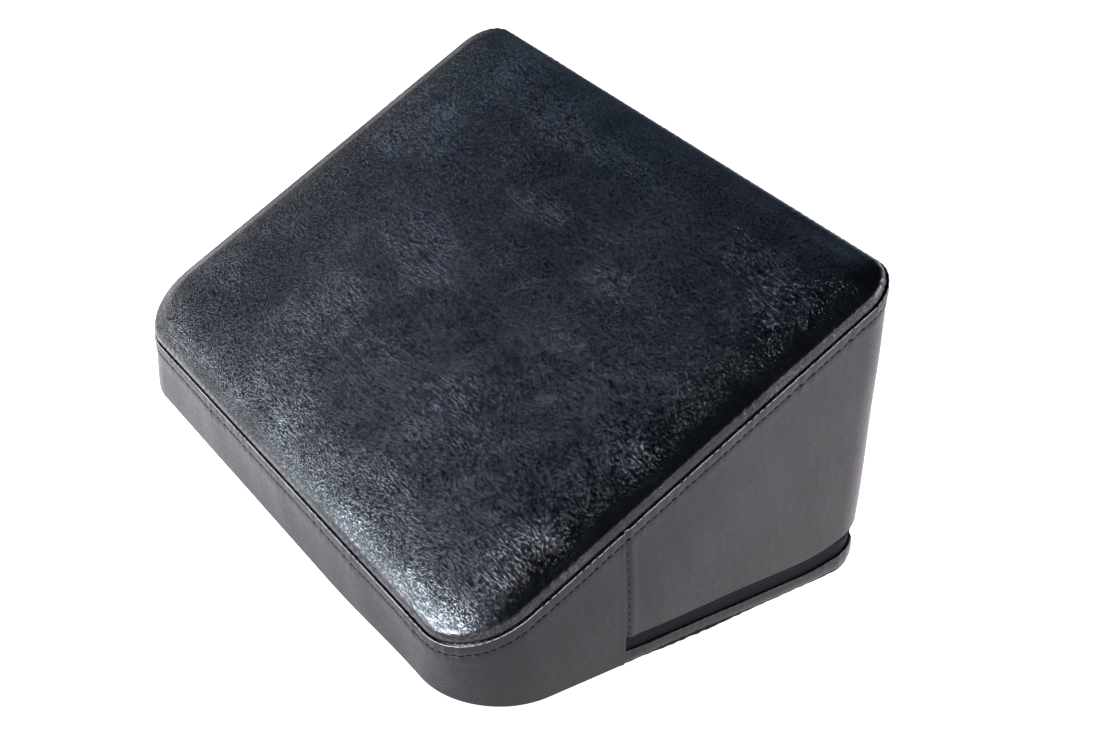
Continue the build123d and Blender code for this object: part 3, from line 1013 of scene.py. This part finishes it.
# ---- materials ----
class Nodes:
    """A node tree that is built one call at a time."""

    def __init__(self, tree):
        self.tree = tree

    def add(self, kind, inputs=None, **settings):
        made = self.tree.nodes.new("ShaderNode" + kind)
        for key, value in settings.items():
            setattr(made, key, value)
        for key, value in (inputs or {}).items():
            self.set(made.inputs[key], value)
        return made

    def set(self, socket, value):
        if isinstance(value, bpy.types.NodeSocket):
            self.tree.links.new(value, socket)
        else:
            socket.default_value = value

    def math(self, operation, a, b=0.0, c=0.0):
        made = self.add("Math", operation=operation)
        for socket, value in zip(made.inputs, (a, b, c)):
            self.set(socket, value)
        return made.outputs[0]

    def vector(self, operation, a, b):
        return self.add("VectorMath", {0: a, 1: b}, operation=operation)

    def ramp(self, value, stops, ease="EASE"):
        """A colour that follows value through (place, colour) stops."""
        made = self.add("ValToRGB", {"Fac": value})
        elements = made.color_ramp.elements
        made.color_ramp.interpolation = ease
        while len(elements) < len(stops):
            elements.new(0.5)
        for element, (place, colour) in zip(elements, stops):
            element.position = place
            element.color = (*colour, 1)
        return made.outputs[0]

    def noise(self, vector, scale, detail=2.0, roughness=0.5):
        inputs = {"Vector": vector, "Scale": scale, "Detail": detail, "Roughness": roughness}
        return self.add("TexNoise", inputs).outputs[0]

    def waves(self, vector, scale, distortion, direction):
        inputs = {"Vector": vector, "Scale": scale, "Distortion": distortion}
        return self.add("TexWave", inputs, bands_direction=direction).outputs[1]

    def remap(self, value, low, high, to_low=0.0, to_high=1.0):
        inputs = {"Value": value, "From Min": low, "From Max": high}
        inputs.update({"To Min": to_low, "To Max": to_high})
        return self.add("MapRange", inputs, interpolation_type="SMOOTHSTEP").outputs[0]

    def lines(self, noise, width):
        """Thin lines, 1 where the noise passes its middle value and 0 away from there."""
        away = self.math("ABSOLUTE", self.math("SUBTRACT", noise, 0.5))
        return self.remap(away, 0.0, width, 1.0, 0.0)

    def ripple(self, operation, value, wavelength):
        return self.math(operation, self.math("MULTIPLY", value, 2 * math.pi / wavelength))

    def bump(self, height, strength, distance, normal=None):
        made = self.add("Bump", {"Height": height, "Strength": strength, "Distance": distance})
        if normal is not None:
            self.set(made.inputs["Normal"], normal)
        return made.outputs[0]

    def mapped(self, vector, scale=(1, 1, 1), rotation=(0, 0, 0)):
        inputs = {"Vector": vector, "Scale": scale, "Rotation": rotation}
        return self.add("Mapping", inputs).outputs[0]


class Shader(Nodes):
    """A material's nodes."""

    def __init__(self, name):
        self.material = bpy.data.materials.new(name)
        self.material.use_nodes = True
        super().__init__(self.material.node_tree)
        self.surface = self.tree.nodes["Principled BSDF"]

    def place(self):
        return self.add("TexCoord").outputs["Object"]

    def sewn(self):
        """The sewn place kept with each point, whole and as (along, from the seam, height)."""
        whole = self.add("Attribute", attribute_name="sewn").outputs["Vector"]
        return whole, self.add("SeparateXYZ", {"Vector": whole}).outputs

    def finished(self, colour, roughness, normal=None, **others):
        """Sets the shader's inputs. An underscore in a name stands for a space."""
        inputs = {"Base Color": colour, "Roughness": roughness}
        if normal is not None:
            inputs["Normal"] = normal
        inputs.update({name.replace("_", " "): value for name, value in others.items()})
        for name, value in inputs.items():
            self.set(self.surface.inputs[name], value)
        return self.material


WRINKLES, CREASES, PORES = 1400.0, 620.0, 1100.0       # noise scales, per metre
PATCHES, DRIFT = 20.0, 30.0
WRINKLE_STRETCH = (0.22, 1.0, 1.0)                     # longer across the cushion
CREASE_STRETCH = (0.13, 1.0, 1.0)


def leather_pattern(s, flat):
    """Fine wrinkles that mostly run across the cushion, pores, and patches of longer creases."""
    drift = s.add("TexNoise", {"Vector": flat, "Scale": DRIFT, "Detail": 2.0})
    shift = s.vector("SUBTRACT", drift.outputs["Color"], (0.5, 0.5, 0.5))
    warp = s.vector("MULTIPLY", shift.outputs[0], (8 * MM, 8 * MM, 8 * MM))
    warped = s.vector("ADD", flat, warp.outputs[0]).outputs[0]
    long_way = s.mapped(warped, WRINKLE_STRETCH, (0, 0, 0.1))
    wrinkles = s.lines(s.noise(long_way, WRINKLES, 0.3), 0.1)
    cells = s.add("TexVoronoi", {"Vector": warped, "Scale": PORES}, feature="DISTANCE_TO_EDGE")
    pores = s.remap(cells.outputs[0], 0.0, 0.16)
    patches = s.remap(s.noise(s.mapped(flat, (0.5, 1.0, 1.0)), PATCHES, 2.5), 0.47, 0.62)
    crease_way = s.mapped(warped, CREASE_STRETCH, (0, 0, 0.15))
    creases = s.lines(s.noise(crease_way, CREASES, 1.5), 0.07)
    return wrinkles, pores, s.math("MULTIPLY", creases, patches)


def pulled_creases(s, whole, parts):
    """Short creases at right angles to a seam, just beside it."""
    near = s.math("SUBTRACT", 1.0, s.remap(parts["Y"], 1.0 * MM, 7.0 * MM))
    pull = s.noise(s.mapped(whole, (1.0, 0.12, 0.12)), 900.0, 1.0, 0.6)
    return s.math("MULTIPLY", s.math("MULTIPLY", pull, near), 0.8)


def painted_fold_glints(s, whole, parts, tone, shine):
    """Painted highlight: light dashes painted into the base colour along the fold at the seam, about
    one to a stitch and broken up. They stand in for the glints where the leather bulges between
    stitches.
    """
    dash = s.ripple("COSINE", parts["X"], PITCH)
    broken = s.noise(s.mapped(whole, (1.0, 0.0, 0.0)), 45.0, 1.0)
    dash = s.math("ADD", dash, s.remap(broken, 0.35, 0.65, -0.3, 1.0))
    # the painted glints lie within about half a millimetre of the fold's edge
    edge = s.math("ABSOLUTE", s.math("ADD", parts["Y"], 0.05 * MM))
    edge = s.remap(edge, 0.2 * MM, 0.5 * MM, 1.0, 0.0)
    edge = s.math("MULTIPLY", edge, s.remap(dash, -1.2, 0.5))
    return s.add("Mix", {0: edge, 6: tone, 7: (*shine, 1)}, data_type="RGBA").outputs[2]


def leather(name, dark, light, rough, deep, contrast, gloss, tilt=0.0, fold_glint_paint=None):
    """Black leather cloth. deep is the height of its wrinkles, gloss its shine and contrast how
    much more the wrinkles shine. tilt turns the pattern into the surface's own slope."""
    s = Shader(name)
    flat = s.mapped(s.place(), rotation=(-tilt, 0, 0))
    wrinkles, pores, crease = leather_pattern(s, flat)
    whole, parts = s.sewn()
    taut = s.remap(parts["Y"], 2.0 * MM, 18.0 * MM, 0.35, 1.0)
    grain = s.math("ADD", wrinkles, s.math("MULTIPLY", pores, 0.15))
    grain = s.math("ADD", grain, s.math("MULTIPLY", crease, 1.2))
    height = s.math("ADD", s.math("MULTIPLY", grain, taut), pulled_creases(s, whole, parts))
    soft = s.noise(flat, 60.0)
    normal = s.bump(soft, 0.2, 0.8 * MM, s.bump(height, 1.0, deep))
    # partly painted shade: the base colour is darker between the wrinkles and in the pores and
    # lighter along wrinkles and creases, part grain tone and part painted cavity shade
    tone = s.ramp(grain, [(0.35, dark), (1.0, light)])
    # painted highlight: glinting dashes along the fold, mixed into the base colour
    if fold_glint_paint:
        tone = painted_fold_glints(s, whole, parts, tone, fold_glint_paint)
    roughness = s.math("MULTIPLY_ADD", taut, -0.04, rough + 0.04)
    roughness = s.math("MULTIPLY_ADD", wrinkles, -0.08, s.math("ADD", roughness, 0.04))
    half = s.math("MULTIPLY", taut, contrast)
    shine = s.math("MULTIPLY_ADD", s.remap(wrinkles, 0.0, 1.0, -0.6, 1.5), half, gloss)
    shine = s.math("ADD", shine, s.math("MULTIPLY", crease, 1.3 * contrast))
    return s.finished(tone, roughness, normal, Specular_IOR_Level=shine)


def thread(name):
    s = Shader(name)
    ply = s.waves(s.place(), 900.0, 2.0, "DIAGONAL")
    tone = s.ramp(ply, [(0.0, (0.001, 0.001, 0.001)), (1.0, (0.006, 0.006, 0.007))])
    return s.finished(tone, 0.75, s.bump(ply, 0.7, 0.12 * MM), Specular_IOR_Level=0.2)


def woven_tape(name):
    """Zip tape: ribs along the tape's length, crossed by a herringbone."""
    s = Shader(name)
    parts = s.sewn()[1]
    slant = s.math("ADD", parts["X"], s.math("PINGPONG", parts["Z"], 1.3 * MM))
    rib = s.math("MULTIPLY_ADD", s.ripple("SINE", slant, 1.05 * MM), 0.5, 0.5)
    cloth = s.math("MULTIPLY_ADD", s.ripple("SINE", parts["Z"], 0.65 * MM), 0.15, rib)
    tone = s.ramp(cloth, [(0.0, (0.0015, 0.0015, 0.0015)), (1.0, (0.017, 0.014, 0.018))])
    return s.finished(tone, 0.75, s.bump(cloth, 0.8, 0.25 * MM), Specular_IOR_Level=0.15)


def grip_cloth(name):
    """Coarse black base fabric."""
    s = Shader(name)
    place = s.place()
    warp, weft = [s.waves(place, 480.0, 1.0, direction) for direction in "XY"]
    fuzz = s.math("MULTIPLY", s.noise(place, 1400.0, 3.0), 0.8)
    cloth = s.math("ADD", s.math("MULTIPLY", warp, weft), fuzz)
    tone = s.ramp(cloth, [(0.2, (0.006, 0.006, 0.006)), (1.0, (0.035, 0.034, 0.033))])
    return s.finished(tone, 0.85, s.bump(cloth, 0.9, 0.4 * MM))


def metal(name, tone, roughness):
    s = Shader(name)
    place = s.place()
    brushed = s.noise(s.mapped(place, (1.0, 0.1, 1.0)), 2600.0)
    worn = s.noise(place, 240.0, 3.0)
    colour = s.ramp(worn, [(0.3, [c * 0.75 for c in tone]), (0.7, tone)])
    rough = s.remap(worn, 0.3, 0.7, roughness, roughness + 0.14)
    return s.finished(colour, rough, s.bump(brushed, 0.2, 0.05 * MM), Metallic=1.0)


def foam(name, tone, cell_size):
    s = Shader(name)
    place = s.place()
    cell = s.add("TexVoronoi", {"Vector": place, "Scale": 1 / cell_size}, feature="F1").outputs[0]
    cloud = s.math("MULTIPLY", s.noise(place, 30.0, 3.0), 0.5)
    mixed = s.math("ADD", s.math("MULTIPLY", cell, 0.7), cloud)
    colour = s.ramp(mixed, [(0.2, [c * 0.7 for c in tone]), (0.9, tone)])
    return s.finished(colour, 0.9, s.bump(cell, 0.8, cell_size * 0.6))


def sleeve(name):
    s = Shader(name)
    knit = s.noise(s.mapped(s.place(), (1.0, 1.0, 0.3)), 1500.0)
    tone = s.ramp(knit, [(0.3, (0.52, 0.52, 0.5)), (0.7, (0.75, 0.75, 0.73))])
    return s.finished(tone, 0.85, s.bump(knit, 0.5, 0.2 * MM))


# ---- the pieces ----
top_leather = leather(
    "top_leather",
    dark=(0.0012, 0.0014, 0.0019),
    light=(0.0024, 0.0028, 0.0036),
    rough=0.2,
    deep=0.05 * MM,
    contrast=0.5,
    gloss=0.41,
    tilt=SLOPE_ANGLE,
)
side_leather = leather(
    "side_leather",
    dark=(0.0022, 0.0019, 0.0021),
    light=(0.0045, 0.0039, 0.0042),
    rough=0.34,
    deep=0.04 * MM,
    contrast=0.06,
    gloss=0.44,
    # colour of the painted highlight dashes along the fold
    fold_glint_paint=(0.3, 0.3, 0.31),
)
thread_black = thread("thread")
tape_black = woven_tape("zip_tape")
base_black = grip_cloth("base_fabric")

front_columns = spaced(0.0, FRONT_LENGTH)
rear_columns = spaced(FRONT_LENGTH, SEAM_LENGTH)

top_pad = padded_top()
hand_over(top_pad, "top_panel", top_leather)

front_wall = wall_band("front_wall", front_columns, FRONT_FOOT, FRONT_ROWS, edge_fold=True)
hand_over(front_wall, "front_band", side_leather)
rear_wall = wall_band("rear_wall", rear_columns, ZIP_TOP, REAR_ROWS, edge_fold=False)
hand_over(rear_wall, "rear_band", side_leather)
hand_over(foot_strip(), "base_strip", side_leather)

upper_tape = zip_tape("tape_upper", *UPPER_TAPE, edge_at_top=False)
hand_over(upper_tape, "zip_tape_upper", tape_black)
lower_tape = zip_tape("tape_lower", *LOWER_TAPE, edge_at_top=True)
hand_over(lower_tape, "zip_tape_lower", tape_black)
hand_over(underside(), "base_panel", base_black)

hand_over(topstitches(), "topstitch_thread", thread_black)
hand_over(seam_stitches(), "top_seam_thread", thread_black)
hand_over(base_stitches(), "base_seam_thread", thread_black)
for side, seam_distance, step_back in (("right", FRONT_LENGTH, 1), ("left", SEAM_LENGTH, -1)):
    row = side_stitches("side_stitches_" + side, seam_distance, step_back)
    hand_over(row, "side_seam_thread_" + side, thread_black)


def filling(name, shape, stands_for, material):
    layer = add_mesh(name, *shape)
    hand_over(layer, stands_for, material)


firm = foam("firm_foam", (0.78, 0.76, 0.70), 0.9 * MM)
soft = foam("soft_foam", (0.82, 0.8, 0.62), 0.7 * MM)
fibre = foam("wadding", (0.85, 0.85, 0.84), 1.6 * MM)
filling("foam_wedge", foam_wedge(), "foam_core", firm)
filling("comfort_layer", comfort_layer(), "comfort_foam", soft)
filling("wadding_layer", wadding_layer(), "top_wadding", fibre)
filling("cloth_sleeve", cloth_sleeve(), "inner_sleeve", sleeve("sleeve_cloth"))

# ---- CAD nodes that stay ----
slider_metal = metal("slider_metal", (0.11, 0.11, 0.115), 0.3)
spring_metal = metal("lock_spring", (0.5, 0.5, 0.5), 0.25)
coil_black = thread("zip_coil")
kept = {
    "slider_body": slider_metal,
    "slider_bridge": slider_metal,
    "pull_tab": slider_metal,
    "slider_lock_spring": spring_metal,
    "zip_coil_upper": coil_black,
    "zip_coil_lower": coil_black,
    "zip_seam_thread_upper": thread_black,
    "zip_seam_thread_lower": thread_black,
}
for node_name, material in kept.items():
    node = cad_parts[node_name]
    node.data.materials.clear()
    node.data.materials.append(material)


# ---- floor, light and camera ----
FLOOR_SHADE_AT = (0.27, -0.22, 0.0)      # painted shade: the glowing floor glows less near the front right corner
FLOOR_TINT = (0.99, 0.93, 1.0, 1)
AIM = (0, 0, 0.08)                     # the lights point here
CAMERA_PLACE = (0.8261, -0.4847, 0.6643)
CAMERA_TURNS = (-57.02, 32.24, 0.08)   # azimuth, elevation and roll in degrees
CAMERA_LENS = 65.3
# (place, colour): place is the height of a sky direction, leaning a little to the right and back
SKY = [
    (0.0, (1.25, 1.25, 1.28)),
    (0.2, (0.95, 1.1, 1.35)),
    (0.33, (0.68, 0.88, 1.25)),
    (0.44, (0.3, 0.42, 0.7)),
    (0.52, (0.085, 0.12, 0.2)),
    (0.6, (0.014, 0.018, 0.03)),
    (0.9, (0.003, 0.003, 0.004)),
]


def floor():
    size = 8.0
    corners = [(-size, -size), (size, -size), (size, size), (-size, size)]
    points = [(x, y, FLOOR_Z - 0.05 * MM) for x, y in corners]
    piece = add_mesh("floor", points, [(0, 1, 2, 3)], smooth=False)
    s = Shader("studio_floor")
    place = s.place()
    tone = s.ramp(s.noise(place, 3.0), [(0.3, (0.2, 0.2, 0.2)), (0.7, (0.22, 0.22, 0.22))])
    away = s.vector("DISTANCE", place, FLOOR_SHADE_AT).outputs["Value"]
    behind = s.vector("DOT_PRODUCT", place, (-0.6, 0.8, 0.0)).outputs["Value"]
    # painted light and shade: the floor glows by emission, less near the front right corner beside
    # the cushion and dimmer towards the back left
    painted_glow = s.remap(away, 0.1, 0.45, 1.08, 2.0)
    painted_glow = s.math("MULTIPLY", painted_glow, s.remap(behind, 0.08, 0.4, 1.0, 0.56))
    s.finished(tone, 0.9, Specular_IOR_Level=0.1, Emission_Color=FLOOR_TINT, Emission_Strength=painted_glow)
    piece.data.materials.append(s.material)


def softbox(name, place, width, height, power, colour):
    data = bpy.data.lights.new(name, "AREA")
    data.shape = "RECTANGLE"
    data.size = width
    data.size_y = height
    data.energy = power
    data.color = colour
    lamp = bpy.data.objects.new(name, data)
    lamp.location = place
    aim = Vector(AIM) - Vector(place)
    lamp.rotation_euler = aim.to_track_quat("-Z", "Y").to_euler()
    bpy.context.scene.collection.objects.link(lamp)


def studio_sky():
    """A pale horizon under a dark ceiling, fainter in one direction at the left back."""
    world = bpy.data.worlds.new("studio_sky")
    bpy.context.scene.world = world
    world.use_nodes = True
    sky = Nodes(world.node_tree)
    back = sky.tree.nodes["Background"]
    direction = sky.add("TexCoord").outputs["Generated"]
    height = sky.vector("DOT_PRODUCT", direction, (0.25, 0.18, 1.0)).outputs["Value"]
    shade = sky.vector("DOT_PRODUCT", direction, (-0.93, 0.36, 0.0)).outputs["Value"]
    sky.set(back.inputs["Color"], sky.ramp(height, SKY, "LINEAR"))
    sky.set(back.inputs["Strength"], sky.remap(shade, 0.78, 0.94, 1.0, 0.15))


def camera():
    """The photograph's viewpoint, found by fitting the object's outline."""
    azimuth, elevation, roll = [math.radians(angle) for angle in CAMERA_TURNS]
    flat = math.cos(elevation)
    ahead = (math.sin(azimuth) * flat, math.cos(azimuth) * flat, -math.sin(elevation))
    data = bpy.data.cameras.new("camera")
    data.lens = CAMERA_LENS
    data.sensor_width = 36
    data.clip_start = 0.01
    viewer = bpy.data.objects.new("camera", data)
    bpy.context.scene.collection.objects.link(viewer)
    turn = Vector(ahead).to_track_quat("-Z", "Y").to_matrix().to_4x4()
    turn = turn @ Matrix.Rotation(roll, 4, "Z")
    viewer.matrix_world = Matrix.Translation(CAMERA_PLACE) @ turn
    bpy.context.scene.camera = viewer


floor()
studio_sky()
softbox("key_left_front", (-1.0, -2.2, 0.95), 1.9, 0.65, 85, (0.77, 0.88, 1.0))
softbox("key_front", (-0.2, -2.5, 0.8), 1.0, 0.6, 105, (0.84, 0.92, 1.0))
softbox("fill_right", (2.2, 0.45, 0.95), 1.6, 1.1, 15, (1.0, 0.97, 1.0))
softbox("rim_right_back", (1.35, 1.9, 0.75), 1.2, 1.1, 40, (1.0, 0.98, 1.0))
camera()
bpy.context.scene.view_settings.view_transform = "Standard"
